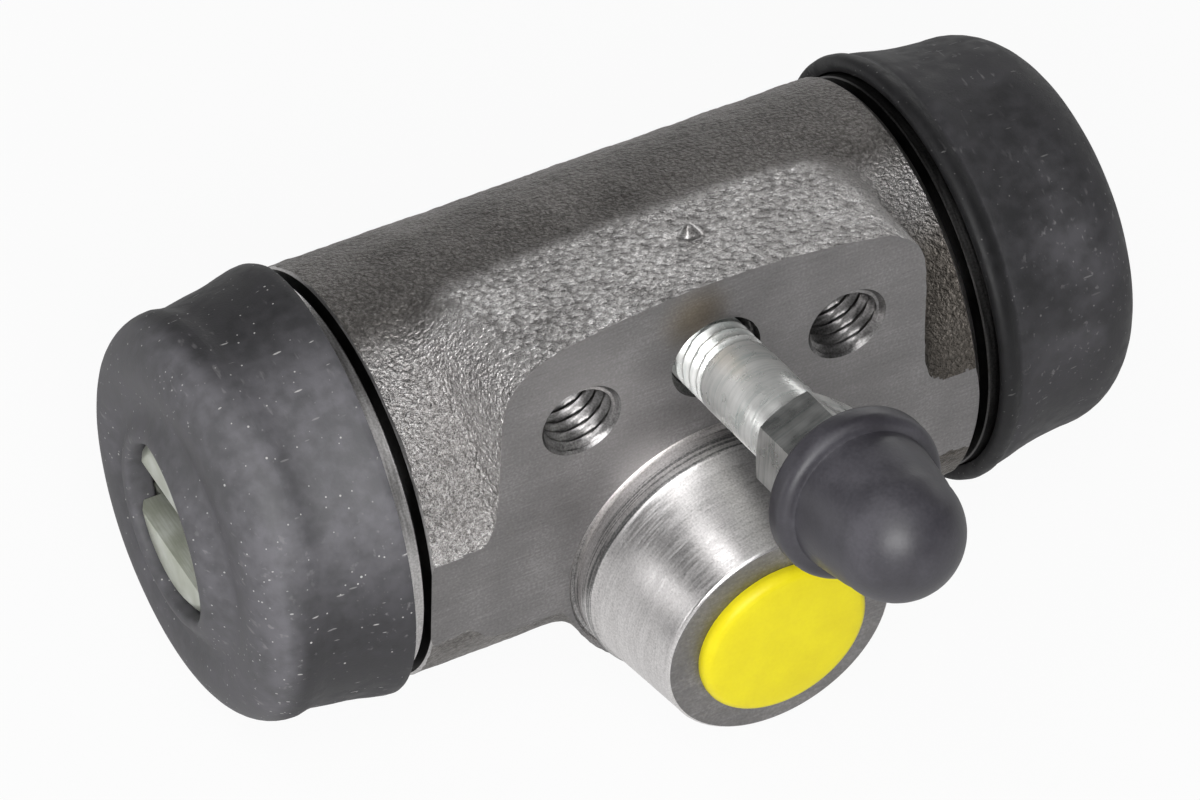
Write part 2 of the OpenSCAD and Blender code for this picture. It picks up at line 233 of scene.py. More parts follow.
def combine(piece, other, way):
    """Joins another solid to a piece, cuts it out or keeps what they share; the other solid is used up."""
    apply_modifier(piece, "BOOLEAN", operation=way, solver="MANIFOLD", object=other)
    bpy.data.objects.remove(other, do_unlink=True)


def turn(name, profile, place, steps=96):
    """Turns a profile of (radius, height) points in mm round the Z axis, then puts it in its place."""
    points = [Vector((radius, 0, height)) * mm for radius, height in profile]
    bpy.ops.object.select_all(action="DESELECT")
    bpy.ops.mesh.primitive_plane_add(size=mm, location=points[0])
    piece = bpy.context.object
    piece.name = name
    bpy.ops.object.transform_apply(location=True, rotation=True, scale=True)
    bpy.ops.object.mode_set(mode="EDIT")
    bpy.ops.mesh.select_mode(type="VERT")
    bpy.ops.mesh.select_all(action="SELECT")
    bpy.ops.mesh.merge(type="CENTER")
    for start, end in zip(points, points[1:]):
        bpy.ops.mesh.extrude_region_move(TRANSFORM_OT_translate={"value": end - start})
    bpy.ops.mesh.select_all(action="SELECT")
    bpy.ops.mesh.spin(steps=steps, angle=2 * math.pi, center=(0, 0, 0), axis=(0, 0, 1))
    bpy.ops.mesh.select_all(action="SELECT")
    bpy.ops.mesh.remove_doubles(threshold=0.0005 * mm)
    bpy.ops.mesh.normals_make_consistent(inside=False)
    bpy.ops.object.mode_set(mode="OBJECT")
    piece.matrix_world = place
    bpy.ops.object.transform_apply(location=True, rotation=True, scale=True)
    return piece


def arc(radius, height, size, start, end, steps):
    """Points of an arc in a profile, from one angle to another, in degrees."""
    angles = [math.radians(start + (end - start) * step / steps) for step in range(steps + 1)]
    return [(radius + size * math.cos(angle), height + size * math.sin(angle)) for angle in angles]


on_right = Matrix.Translation(bore_middle) @ Matrix.Rotation(math.radians(90), 4, "Y")
on_left = Matrix.Translation(bore_middle) @ Matrix.Rotation(math.radians(-90), 4, "Y")
on_pilot = Matrix.Rotation(math.radians(90), 4, "X")
bleed_tilt = math.radians(12)
bleed_z = 17.75
on_bleed = Matrix.Translation((0, 0, bleed_z * mm)) @ Matrix.Rotation(math.radians(90) - bleed_tilt, 4, "X")

barrel_r, shoulder, blank_half = 15.25, 22.0, 25
blank = [(0, -blank_half), (barrel_r, -blank_half), (barrel_r, blank_half), (0, blank_half)]
casting = turn("cast_body", blank, on_right, 128)

pad_front, pad_back, pad_top, pad_low = -5.0, 17.0, 23.1, -2.0
pad_half, pad_corner_r, pad_spread = 16.5, 3.4, 1.06
pad_slope, pad_draft = math.tan(math.radians(18)), math.tan(math.radians(8))
bpy.ops.object.select_all(action="DESELECT")
pad_middle = Vector((0, (pad_front + pad_back) / 2, (pad_top + pad_low) / 2)) * mm
bpy.ops.mesh.primitive_cube_add(size=1, location=pad_middle)
pad = bpy.context.object
pad.scale = Vector((2 * pad_half, pad_back - pad_front, pad_top - pad_low)) * mm
bpy.ops.object.transform_apply(location=True, rotation=True, scale=True)
for end_y in (pad_front, pad_back):
    pick(pad, "VERT", lambda place: abs(place.y - end_y) < 0.1 and place.z > 0)
    bpy.ops.transform.translate(value=(0, 0, -end_y * pad_slope * mm))
    bpy.ops.object.mode_set(mode="OBJECT")
    pick(pad, "VERT", lambda place: abs(place.y - end_y) < 0.1)
    bpy.ops.transform.resize(value=(1 + end_y * pad_draft / pad_half, 1, 1), center_override=pad_middle)
    bpy.ops.object.mode_set(mode="OBJECT")
pick(pad, "VERT", lambda place: place.z < 0)
bpy.ops.transform.resize(value=(pad_spread, 1, 1), center_override=pad_middle)
bpy.ops.object.mode_set(mode="OBJECT")
pick(pad, "EDGE", lambda middle, way: middle.z > 10 and abs(way.y) > 0.8)
bpy.ops.mesh.bevel(offset=pad_corner_r * mm, segments=8, affect="EDGES")
bpy.ops.object.mode_set(mode="OBJECT")
# The pad's top is crowned along the face, and the crown runs out towards the barrel.
pad_crown, crown_half = 2.1, 14.5
pick(pad, "EDGE", lambda middle, way: middle.z > 10 and abs(way.x) > 0.9 and abs(middle.x) < 1)
bpy.ops.mesh.subdivide(number_cuts=23)
bpy.ops.object.mode_set(mode="OBJECT")
for corner in pad.data.vertices:
    across, along, height = corner.co / mm
    if height > 10 and abs(across) < crown_half:
        corner.co.z += pad_crown * (1 - (across / crown_half) ** 2) * (1 - along / pad_back) * mm
combine(casting, pad, "UNION")
boss_foot = [(0, 3), (11.2, 3), (11.9, -12.5), (0, -12.5)]
combine(casting, turn("boss_foot", boss_foot, on_pilot), "UNION")

# The inner corners are rounded in the mould, so the blank is smoothed before its skin is cast.
apply_modifier(casting, "REMESH", mode="VOXEL", voxel_size=0.5 * mm)
apply_modifier(casting, "SMOOTH", factor=0.5, iterations=14)
apply_modifier(casting, "REMESH", mode="VOXEL", voxel_size=0.27 * mm)
apply_modifier(casting, "SMOOTH", factor=0.5, iterations=3)
for lump_size, lump_height in ((2.6, 0.16), (0.75, 0.12)):
    lumps = bpy.data.textures.new("lumps", "CLOUDS")
    lumps.noise_scale = lump_size * mm
    lumps.noise_depth = 1
    apply_modifier(casting, "DISPLACE", texture=lumps, texture_coords="LOCAL", strength=lump_height * mm,
                   mid_level=0.5)

# A small round pip stands on the pad's slope where the mould was vented.
pip_middle, pip_lean = Vector((2.4, 8.35, 21.35)) * mm, math.radians(-24)
at_pip = Matrix.Translation(pip_middle) @ Matrix.Rotation(pip_lean, 4, "X")
pip = [(0, -1.5), (1.1, -1.5), (1.0, 0.0), (0.85, 0.2), (0.5, 0.5), (0.28, 0.72), (0.12, 0.82), (0, 0.84)]
combine(casting, turn("pip", pip, at_pip, 32), "UNION")

# The mounting face is milled flat, and the shoulders are turned square, the right one with a wider chamfer.
bpy.ops.object.select_all(action="DESELECT")
bpy.ops.mesh.primitive_cube_add(size=60 * mm, location=(0, -30 * mm, 0))
combine(casting, bpy.context.object, "DIFFERENCE")
chamfer_run, clear_r, clear_x = 1.2, 24, 30
for place, chamfer in ((on_left, 0.15), (on_right, 0.5)):
    edge_r = barrel_r - chamfer
    cut = [(0, shoulder), (edge_r, shoulder), (edge_r + chamfer_run, shoulder - chamfer_run)]
    cut += [(clear_r, shoulder - chamfer_run), (clear_r, clear_x), (0, clear_x)]
    combine(casting, turn("shoulder_cut", cut, place, 128), "DIFFERENCE")

# Each end is turned down to a groove, a bright land, the groove for the boot's bead and a narrow end.
land_r, land_end, bead_r, bead_end, end_r, end_x = 14.9, 24.5, 12.9, 26.7, 13.3, 28.6
for place, land_x in ((on_left, 22.6), (on_right, 22.7)):
    end = [(0, 18), (bead_r, 18), (bead_r, land_x), (land_r - 0.1, land_x), (land_r, land_x + 0.1)]
    end += [(land_r, land_end - 0.15), (land_r - 0.15, land_end), (bead_r, land_end)]
    end += [(bead_r, bead_end), (end_r, bead_end), (end_r, end_x - 0.4), (end_r - 0.4, end_x), (0, end_x)]
    combine(casting, turn("turned_end", end, place, 128), "UNION")

# The boss is turned with a short register at its foot, which stands in a shallow ring cut in the face.
boss_l, pilot_r, tip_r = 10.5, 10.6, 8.9
ring = [(0, 1), (11.05, 1), (11.05, 0), (10.85, -0.16), (0, -0.16)]
combine(casting, turn("face_ring", ring, on_pilot, 128), "DIFFERENCE")
boss = [(0, -6), (pilot_r + 0.05, -6), (pilot_r + 0.05, -0.3), (pilot_r - 0.02, 0), (pilot_r, 2.05)]
boss += [(pilot_r - 0.08, 2.2), (pilot_r - 0.3, 2.5), (tip_r + 0.03, boss_l - 0.4)]
boss += arc(tip_r - 0.27, boss_l - 0.3, 0.3, 10, 90, 4) + [(0, boss_l)]
combine(casting, turn("boss", boss, on_pilot, 160), "UNION")
inlet_mouth = [(0, 12), (5.6, 12), (5.6, boss_l), (5.0, boss_l - 0.6), (5.0, 9.2), (0, 9.2)]
combine(casting, turn("inlet_mouth", inlet_mouth, on_pilot), "DIFFERENCE")
inlet = [(0, 9.6), (4.55, 9.6), (4.55, 1.5), (1.5, -0.9), (1.5, -8), (0, -8)]
combine(casting, turn("inlet_port", inlet, on_pilot), "DIFFERENCE")
bore_r, mouth_r, lead_in = 9.525, 10.1, 0.6
bore_cut = [(0, -clear_x), (mouth_r, -clear_x), (mouth_r, -end_x), (bore_r, lead_in - end_x)]
bore_cut += [(bore_r, end_x - lead_in), (mouth_r, end_x), (mouth_r, clear_x), (0, clear_x)]
combine(casting, turn("bore", bore_cut, on_right), "DIFFERENCE")


def threaded(name, root, crest, pitch, low, high, place, steps=48):
    """A rod with a right-hand thread between two radii, from one height to another, with flat ends."""
    rings = round((high - low) / pitch * 10)
    side = [(crest, low + (high - low) * ring / rings) for ring in range(rings + 1)]
    rod = turn(name, [(0, low), *side, (0, high)], Matrix(), steps)
    for corner in rod.data.vertices:
        if corner.co.xy.length > root / 2 * mm:
            share = (corner.co.z / mm / pitch - math.atan2(corner.co.y, corner.co.x) / (2 * math.pi)) % 1
            flank = min(max((abs(share - 0.5) * 2 - 0.12) / 0.72, 0), 1)
            corner.co.xy *= (root + (crest - root) * flank) / crest
    rod.data.transform(place)
    return rod


# The two mounting holes are drilled blind, tapped and countersunk; the bleed hole has a wider mouth.
hole_axes = [Vector((hole_x, 0, 16.3)) for hole_x in (-10.5, 10.5)]
for hole in hole_axes:
    at_hole = Matrix.Translation(hole * mm) @ on_pilot
    combine(casting, threaded("tap", 2.5, 3.0, 1.0, -9, -0.2, at_hole), "DIFFERENCE")
    sink = [(0, 1), (3.1, 1), (3.1, 0), (2.75, -0.35), (0, -0.35)]
    combine(casting, turn("countersink", sink, at_hole), "DIFFERENCE")
combine(casting, threaded("bleed_tap", 2.6, 3.05, 1.0, -9.4, -0.8, on_bleed), "DIFFERENCE")
mouth = [(0, 3), (3.5, 3), (3.5, -0.9), (2.9, -1.5), (0, -1.5)]
combine(casting, turn("bleed_mouth", mouth, on_bleed), "DIFFERENCE")


def new_finish(name):
    """A new material, its shader node and the place on the piece."""
    material = bpy.data.materials.new(name)
    material.use_nodes = True
    nodes = material.node_tree.nodes
    return material, nodes["Principled BSDF"], Field(nodes.new("ShaderNodeTexCoord").outputs["Object"])


def feed(shader, **fields):
    """Links varying values to a shader's sockets, named with _ for a space."""
    for name, field in fields.items():
        shader.id_data.links.new(field.socket, shader.inputs[name.replace("_", " ")])


def grain(place, size, detail=2.0, stretch=(1, 1, 1)):
    """Soft noise with lumps of about a size in mm, finer along an axis that is stretched."""
    scaled = place.node("ShaderNodeVectorMath", {0: place, 1: stretch}, operation="MULTIPLY")
    return place.node("ShaderNodeTexNoise", {"Vector": scaled, "Scale": 1 / (size * mm), "Detail": detail})


def shade(field, *stops):
    """Colours along a ramp."""
    return field.node("ShaderNodeValToRGB", {"Fac": field}, stops=stops)


def relief(height, depth, strength=1.0):
    """Small relief on a surface, with its depth in mm."""
    return height.node("ShaderNodeBump", {"Height": height, "Distance": depth * mm, "Strength": strength})


def ways(place):
    """How far a place lies along X, Y and Z."""
    return [Field(way) for way in place.node("ShaderNodeSeparateXYZ", {0: place}).socket.node.outputs]


def distance(place, point):
    """How far a place lies from a point."""
    return place.node("ShaderNodeVectorMath", {0: place, 1: point}, output=1, operation="DISTANCE")


def rounded_cells(place, size):
    """Rounded lumps of about a size in mm, low in their middles."""
    cells = {"Vector": place, "Scale": 1 / (size * mm), "Smoothness": 0.5}
    return place.node("ShaderNodeTexVoronoi", cells, feature="SMOOTH_F1")


as_cast, shader, place = new_finish("as_cast_iron")
side_way, back_way, up_way = ways(place)
from_axis = ((back_way - bore_middle.y) ** 2 + (up_way - bore_middle.z) ** 2) ** 0.5
near_middle = side_way.math("ABSOLUTE", 0).between(13 * mm, 17 * mm, 1, 0)
on_pad = from_axis.between(15.4 * mm, 16.4 * mm) * near_middle
wobble = place.node("ShaderNodeTexNoise", {"Vector": place, "Scale": 1 / (0.5 * mm)}, output=1)
wobble_size = (0.6 * mm,) * 3
shifted = place.node("ShaderNodeVectorMath", {0: wobble, 1: wobble_size, 2: place}, operation="MULTIPLY_ADD")
pebbles, grit = rounded_cells(shifted, 0.6), rounded_cells(shifted, 0.32)
sand = grain(place, 0.22, 2)
fine = grain(place, 0.09, 2)
patches = grain(place, 6, 2)
sandy = 0.45 - grit * 0.45 + sand * 0.3 + fine * 0.25
skin = sandy + (0.85 - pebbles * 0.75 + sand * 0.1 - sandy) * on_pad
tone = skin * 0.45 + sand * 0.15 + fine * 0.15 + patches * 0.25
iron = shade(tone, (0.38, (0.26, 0.25, 0.242)), (0.52, (0.54, 0.52, 0.512)), (0.64, (0.88, 0.86, 0.852)))
# Painted shade darkens the barrel's top and underside, the front of the right end is darker and browner, and
# all three have less relief and more roughness.
rough = on_pad.math("MAXIMUM", back_way.between(8.5 * mm, 13.5 * mm, 1, 0))
# The front of the right end, beside the pad, is made darker and browner.
darker_right_front = side_way.between(16 * mm, 18 * mm) * back_way.between(4.5 * mm, 8 * mm, 1, 0)
dull_with_painted_shade = (1 - rough).math("MAXIMUM", darker_right_front).math("MAXIMUM", up_way.between(-1.5 * mm, 0.5 * mm, 1, 0))
depth = (1 - dull_with_painted_shade * 0.65) * distance(place, pip_middle).between(0.9 * mm, 1.3 * mm, 0.1, 1)
# Painted shade on the top and the underside, and the darker front of the right end, are multiplied into the
# iron here.
iron_with_painted_shade = iron.blend((0.31, 0.302, 0.29, 1), dull_with_painted_shade, "MULTIPLY")
feed(shader,
     Base_Color=iron_with_painted_shade.blend((0.6, 0.57, 0.53, 1), darker_right_front, "MULTIPLY"),
     Roughness=fine.between(0.3, 0.7, 0.22, 0.4) + dull_with_painted_shade * 0.14,
     Normal=relief(skin * depth, 0.6))
shader.inputs["Metallic"].default_value = 0.85

milled, shader, place = new_finish("milled_iron")
blotches = grain(place, 5, 3)
scratches = grain(place, 0.16, 1, (0.05, 1, 1))
flecks = grain(place, 0.2, 2)
tone = blotches * 0.4 + scratches * 0.2 + flecks * 0.4
grey = shade(tone, (0.36, (0.175, 0.169, 0.169)), (0.52, (0.245, 0.237, 0.237)),
             (0.66, (0.345, 0.336, 0.336)))
# A brown reflection is painted on the face over the mouth of the bleed hole.
reflection_middle = Vector((-1.8, 0, 22.6)) * mm
painted_reflection = (distance(place, reflection_middle) + blotches * 1.6 * mm).between(1.2 * mm, 4.4 * mm, 0.8, 0)
feed(shader,
     Base_Color=grey.blend((0.8, 0.68, 0.5, 1), painted_reflection, "MULTIPLY"),
     Roughness=tone.between(0.35, 0.65, 0.46, 0.6),
     Normal=relief(scratches * 0.5 + flecks * 0.5, 0.014, 0.6))
shader.inputs["Metallic"].default_value = 0.9


def dress(piece, *materials):
    """Gives a piece its finishes, and takes off any that it has from a cut."""
    piece.data.materials.clear()
    for material in materials:
        piece.data.materials.append(material)


def smooth(piece, angle):
    """Shades a piece smooth, apart from its edges past an angle in degrees."""
    focus(piece)
    bpy.ops.object.shade_smooth_by_angle(angle=math.radians(angle))


def turned_iron(name, axis, dark, bright, grooved=None):
    """Turned iron between two grey tones, ringed along one axis, with tool marks past a place on it in mm."""
    material, shader, place = new_finish(name)
    across = tuple(0.06 if index != axis else 1 for index in range(3))
    rings = grain(place, 0.14, 2, across)
    bands = grain(place, 0.9, 2, across)
    speckle = grain(place, 0.15, 2)
    tone = rings * 0.3 + bands * 0.2 + speckle * 0.5
    if grooved is not None:
        past_place = ways(place)[axis].between((grooved - 0.3) * mm, grooved * mm)
        tool_marks = grain(place, 0.3, 2, tuple(size * 0.3 if size < 1 else 1 for size in across))
        tone = tone - tool_marks.between(0.48, 0.58) * past_place * 0.25
    feed(shader,
         Base_Color=shade(tone, (0.2, (dark * 0.4,) * 3), (0.4, (dark, dark * 0.97, dark * 0.96)),
                          (0.62, (bright, bright * 0.975, bright * 0.97))),
         Roughness=rings.between(0.35, 0.65, 0.31, 0.4),
         Normal=relief(rings * 0.5 + speckle * 0.5, 0.005, 0.7))
    shader.inputs["Metallic"].default_value = 1.0
    return material


turned_boss = turned_iron("turned_boss_iron", 1, 0.58, 0.84, grooved=-2.2)
turned_ends = turned_iron("turned_end_iron", 0, 0.40, 0.62)
# Painted shade: the tapped holes, the countersinks and the bleed mouth get a much darker iron.
tapped_shaded_iron = turned_iron("tapped_iron_painted_shade", 1, 0.14, 0.3)
# Painted shade: the grooves at both ends, and the right land, get a near-black iron.
groove_shade_iron = turned_iron("groove_iron_painted_shade", 0, 0.04, 0.08)
dress(casting, as_cast, milled, turned_boss, turned_ends, tapped_shaded_iron, groove_shade_iron)
on_skin, on_face, on_boss, on_ends, in_threads, in_groove = range(6)
to_bleed = on_bleed.inverted()
bleed_reach, hole_reach, hole_depth = 3.55, 3.3, 10.5
for face in casting.data.polygons:
    middle, normal = face.center / mm, face.normal
    from_bore = (middle - bore_middle / mm).yz.length
    in_bleed = (to_bleed @ face.center).xy.length < bleed_reach * mm
    in_hole = in_bleed or any((middle - axis).xz.length < hole_reach for axis in hole_axes)
    face.material_index = on_skin
    if (abs(middle.y) < 0.02 or middle.y < -boss_l + 0.02) and normal.y < -0.9:
        face.material_index = on_face
    elif middle.xz.length < 11.1 and middle.y < 0.3:
        face.material_index = on_boss
    elif in_hole and middle.y < hole_depth and from_bore > 9.6:
        face.material_index = in_threads
    elif 21.99 < abs(middle.x) < land_end - 0.5 and from_bore < land_r + math.copysign(0.08, middle.x):
        face.material_index = in_groove
    elif from_bore < 9.7 or abs(middle.x) > 21.95 or (abs(middle.x) > 21.2 and abs(normal.x) > 0.5):
        face.material_index = on_ends
smooth(casting, 35)
for face in casting.data.polygons:
    face.use_smooth = face.use_smooth and face.material_index != on_face
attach(casting, "housing")
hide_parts("cylinder_body")

# Dust boots: moulded charcoal rubber caps that grip a groove on each end and close round the piston's nose.
# The left one is pushed in a little further, so its end is flatter; both carry dust and scuffs from handling.
boot_rubber, shader, place = new_finish("dusty_rubber")
clouds = grain(place, 9, 3)
mottle = grain(place, 1.1, 3)
pores = grain(place, 0.2, 2)


def specks(place, size, radius, share):
    """Small round spots of a radius in mm, scattered a size apart over a share of their places."""
    cells = {"Vector": place, "Scale": 1 / (size * mm)}
    spot = place.node("ShaderNodeTexVoronoi", cells).between(radius / size * 0.6, radius / size, 1, 0)
    chance = place.node("ShaderNodeTexVoronoi", cells, output=1)
    return spot * chance.node("ShaderNodeSeparateColor", {0: chance}).between(1 - share, 1.05 - share)


fine_dust = specks(place, 0.6, 0.08, 0.7) * mottle.between(0.42, 0.6)
crumb = specks(place, 1.3, 0.11, 0.4).math("MAXIMUM", fine_dust)
# Short hairs lie two ways across the rubber.
for lean in ((0.3, 0.9, 0.5), (1.2, 0.2, 2.1)):
    turned = place.node("ShaderNodeMapping", {"Vector": place, "Rotation": lean, "Scale": (0.16, 1, 1)})
    crumb = crumb.math("MAXIMUM", specks(turned, 0.7, 0.08, 0.5) * clouds.between(0.38, 0.52) * 0.8)
scuff = grain(place, 0.5, 2, (1, 0.3, 1)).between(0.62, 0.75) * clouds.between(0.45, 0.62)
film = (clouds * 0.45 + mottle * 0.55).between(0.35, 0.66)
rubber = shade(film, (0, (0.096, 0.095, 0.101)), (1, (0.15, 0.146, 0.159)))
# Painted shade darkens the back and the underside of both boots and the end and the hollow wall of the left
# one; the right boot is darker all over, partly from less dust and partly from painted shade.
side_way, back_way, up_way = ways(place)
on_right_boot = side_way.between(-mm, mm)
shade_and_less_dust = back_way.between(7 * mm, 18 * mm, 0, 1).math("MAXIMUM", up_way.between(3 * mm, 14 * mm, 0.95, 0))
shade_and_less_dust = shade_and_less_dust * side_way.between(-33.5 * mm, -31.5 * mm)
shade_and_less_dust = shade_and_less_dust.math("MAXIMUM", 0.25 - side_way.between(-35 * mm, -32 * mm, 0, 0.25))
hollow_shade = side_way.between(-31.2 * mm, -30 * mm) * side_way.between(-29.8 * mm, -28 * mm, 1, 0)
shade_and_less_dust = shade_and_less_dust.math("MAXIMUM", on_right_boot * clouds.between(0.5, 0.66, 1, 0.75))
shade_and_less_dust = shade_and_less_dust.math("MAXIMUM", hollow_shade * 0.35)
# Painted shade, and the right boot's thinner dust, are multiplied into the rubber here.
rubber = rubber.blend((0.3, 0.3, 0.3, 1), shade_and_less_dust, "MULTIPLY")
right_rim = on_right_boot * side_way.between(24.5 * mm, 25.1 * mm, 1, 0)
rubber = rubber.blend((0.4, 0.4, 0.4, 1), right_rim, "MULTIPLY")
crumb = crumb * side_way.between(-mm, mm, 0.85, 0.2)
dusty = rubber.blend((0.34, 0.33, 0.335, 1), scuff * 0.3).blend((0.55, 0.54, 0.53, 1), crumb)
feed(shader,
     Base_Color=dusty,
     Roughness=film.between(0, 1, 0.5, 0.66),
     Normal=relief(mottle * 0.4 + pores * 0.3 + crumb * 0.5, 0.08, 0.5))
shader.inputs["Specular IOR Level"].default_value = 0.25


def dust_boot(name, place, outside, end, corner, askew, swell):
    """A boot with its rim and wall given as a profile, closed by a rounded corner and a dished, lipped end.

    Its rim stands askew and its lip swells out by so many mm on the side that faces the lamp.
    """
    wall, thick, lip_r = outside[-1][0], 1.6, 6.5
    corner_z = end - corner
    outside = outside + arc(wall - corner, corner_z, corner, 0, 90, 12)
    mouth_end = [(10.4, end - 0.1), (9.8, end - 0.36), (9.1, end - 0.46), (8.5, end - 0.25)]
    mouth_end += [(7.9, end + 0.16), (7.5, end + 0.44), (7.15, end + 0.56), (6.85, end + 0.57)]
    mouth_end += [(6.62, end + 0.46), (6.52, end + 0.26), (lip_r, end), (lip_r, end - 1.3)]
    mouth_end += [(6.8, end - thick)]
    inside = arc(wall - corner, corner_z, corner - thick, 90, 0, 8)
    inside += [(wall - thick, 27.0), (13.4, 26.75), (13.1, 26.6), (13.0, 26.4)]
    inside += [(13.0, 24.7), (13.2, 24.6), (15.0, 24.6)]
    boot = turn(name, outside + mouth_end + inside + [outside[0]], place, 160)
    dents = bpy.data.textures.new("dents", "CLOUDS")
    dents.noise_scale = 13 * mm
    apply_modifier(boot, "DISPLACE", texture=dents, texture_coords="LOCAL", strength=0.12 * mm, mid_level=0.5)
    to_lamp = Vector((-0.866, 0.5))
    for corner_point in boot.data.vertices:
        from_bore = (corner_point.co - bore_middle).yz
        lean = from_bore.normalized().dot(to_lamp)
        reach = max(0, 1 - (abs(corner_point.co.x) / mm - 23) / 5)
        shift = askew * lean * reach
        if abs(corner_point.co.x) > (end - 2) * mm:
            near_mouth = min(max((11.5 - from_bore.length / mm) / 3, 0), 1)
            shift += swell * max(lean, 0) * near_mouth ** 2
        corner_point.co.x += math.copysign(shift * mm, corner_point.co.x)
    smooth(boot, 50)
    dress(boot, boot_rubber)
    return boot


left_wall = [(15.05, 23.2), (15.8, 23.15), (15.96, 23.2), (16.02, 23.36), (15.98, 23.9), (15.78, 24.9)]
left_wall += [(15.56, 25.8), (15.38, 26.8), (15.24, 28), (15.08, 29), (14.96, 29.7)]
left_wall += [(15.0, 30.3), (15.15, 31.0)]
left_boot = dust_boot("left_dust_boot", on_left, left_wall, end=34.6, corner=3.5, askew=0.75, swell=1.0)
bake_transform(left_boot)
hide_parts("dust_boot_left")
right_wall = [(15.05, 23.4), (15.5, 23.2), (15.9, 23.2), (16.12, 23.4), (16.22, 23.8), (16.16, 24.25)]
right_wall += [(15.95, 24.6), (15.78, 24.85), (15.78, 25.05), (15.84, 25.3), (15.7, 26), (15.45, 27)]
right_wall += [(15.25, 28), (15.1, 29), (15.0, 30), (14.9, 31.2)]
right_boot = dust_boot("right_dust_boot", on_right, right_wall, end=36.8, corner=5.0, askew=-0.1, swell=0)
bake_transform(right_boot)
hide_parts("dust_boot_right")

# Pistons: turned steel with a yellow-green passivated skin, each with a slot in its nose for the shoe's web.
# Only the nose shows, down in the mouth of the boot.
piston_steel, shader, place = new_finish("passivated_steel")
smears = grain(place, 2.2, 3)
rings = grain(place, 0.12, 2, (1, 0.06, 0.06))
tone = smears * 0.6 + rings * 0.4
feed(shader,
     Base_Color=shade(tone, (0.35, (0.40, 0.42, 0.34)), (0.52, (0.51, 0.53, 0.46)),
                      (0.68, (0.64, 0.66, 0.61))),
     Roughness=smears.between(0.3, 0.7, 0.3, 0.46),
     Normal=relief(rings, 0.012, 0.5))
shader.inputs["Metallic"].default_value = 0.5


def piston(name, place, inner_end, slot_turn):
    """A piston with its inner end at a height over the bore's middle, and its slot turned from upright."""
    skirt, neck, nose, length = 9.475, 7.8, 6.4, 24.0
    slot_size = Vector((32, 5, 12)) * mm
    profile = [(0, 0), (skirt - 0.4, 0), (skirt, 0.4), (skirt, 15.1), (skirt - 0.4, 15.5), (7.9, 15.5)]
    profile += [(neck, 15.6), (neck, 21.7), (neck - 0.4, 22.1), (nose, 22.1), (nose, 23.4)]
    profile += [(nose - 0.15, 23.55), (nose - 0.8, 23.95), (nose - 0.95, length), (0, length)]
    piece = turn(name, profile, place @ Matrix.Translation((0, 0, inner_end * mm)), 96)
    bpy.ops.object.select_all(action="DESELECT")
    bpy.ops.mesh.primitive_cube_add(size=1)
    slot_cut = bpy.context.object
    slot_cut.scale = slot_size
    at_nose = Matrix.Translation((0, 0, (inner_end + length) * mm))
    turned_slot = Matrix.Rotation(math.radians(slot_turn), 4, "Z")
    slot_cut.matrix_world = place @ at_nose @ turned_slot @ slot_cut.matrix_basis
    combine(piece, slot_cut, "DIFFERENCE")
    apply_modifier(piece, "BEVEL", width=0.12 * mm, segments=2, limit_method="ANGLE",
                   angle_limit=math.radians(50))
    smooth(piece, 35)
    dress(piece, piston_steel)
    return piece


left_piston = piston("left_piston_turned", on_left, 10.7, 90)
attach(left_piston, "left_piston")
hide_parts("piston_left")
right_piston = piston("right_piston_turned", on_right, 13.0, 0)
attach(right_piston, "right_piston")
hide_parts("piston_right")

# Seals, spring seats and return spring: black rubber cups, and seats and a spring of plain spring steel.
# They sit in the bore, out of sight, so the cups and the seats keep their solids.
# The spring is coiled in two halves from the middle of its length, one towards each piston.
cup_rubber, shader, place = new_finish("cup_rubber")
sheen = grain(place, 1.5, 2)
feed(shader,
     Base_Color=shade(sheen, (0.3, (0.02, 0.02, 0.021)), (0.7, (0.045, 0.045, 0.047))),
     Roughness=sheen.between(0.3, 0.7, 0.35, 0.5))
for node in ("cup_seal_left", "cup_seal_right"):
    dress(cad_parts[node], cup_rubber)

spring_steel, shader, place = new_finish("spring_steel")
draw_marks = grain(place, 0.25, 2)
feed(shader,
     Base_Color=shade(draw_marks, (0.35, (0.33, 0.33, 0.34)), (0.65, (0.55, 0.55, 0.56))),
     Roughness=draw_marks.between(0.3, 0.7, 0.25, 0.4))
shader.inputs["Metallic"].default_value = 1.0
for node in ("spring_seat_left", "spring_seat_right"):
    dress(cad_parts[node], spring_steel)

wire_r, coil_r, half_turns = 0.45, 5.5, 3
spring_low, spring_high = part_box("return_spring")
spring_middle = (spring_low[0] + spring_high[0]) / 2
half_length = (spring_high[0] - spring_low[0]) / 2 - wire_r * mm
at_middle = Matrix.Translation((spring_middle, 0, 0))


def half_spring(name, place):
    """Half of the spring, a tube of wire from the middle of its length to the seat on one piston."""
    bpy.ops.object.select_all(action="DESELECT")
    bpy.ops.mesh.primitive_circle_add(vertices=16, radius=wire_r * mm, location=(coil_r * mm, 0, 0),
                                      rotation=(math.radians(90), 0, 0))
    half = bpy.context.object
    half.name = name
    bpy.ops.object.transform_apply(location=True, rotation=True, scale=True)
    apply_modifier(half, "SCREW", axis="Z", angle=2 * math.pi * half_turns, screw_offset=half_length,
                   iterations=1, steps=40 * half_turns)
    bpy.ops.object.mode_set(mode="EDIT")
    bpy.ops.mesh.select_all(action="SELECT")
    bpy.ops.mesh.fill_holes(sides=0)
    bpy.ops.mesh.normals_make_consistent(inside=False)
    bpy.ops.object.mode_set(mode="OBJECT")
    half.matrix_world = at_middle @ place
    bpy.ops.object.transform_apply(location=True, rotation=True, scale=True)
    smooth(half, 50)
    dress(half, spring_steel)
    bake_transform(half)
    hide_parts("return_spring")


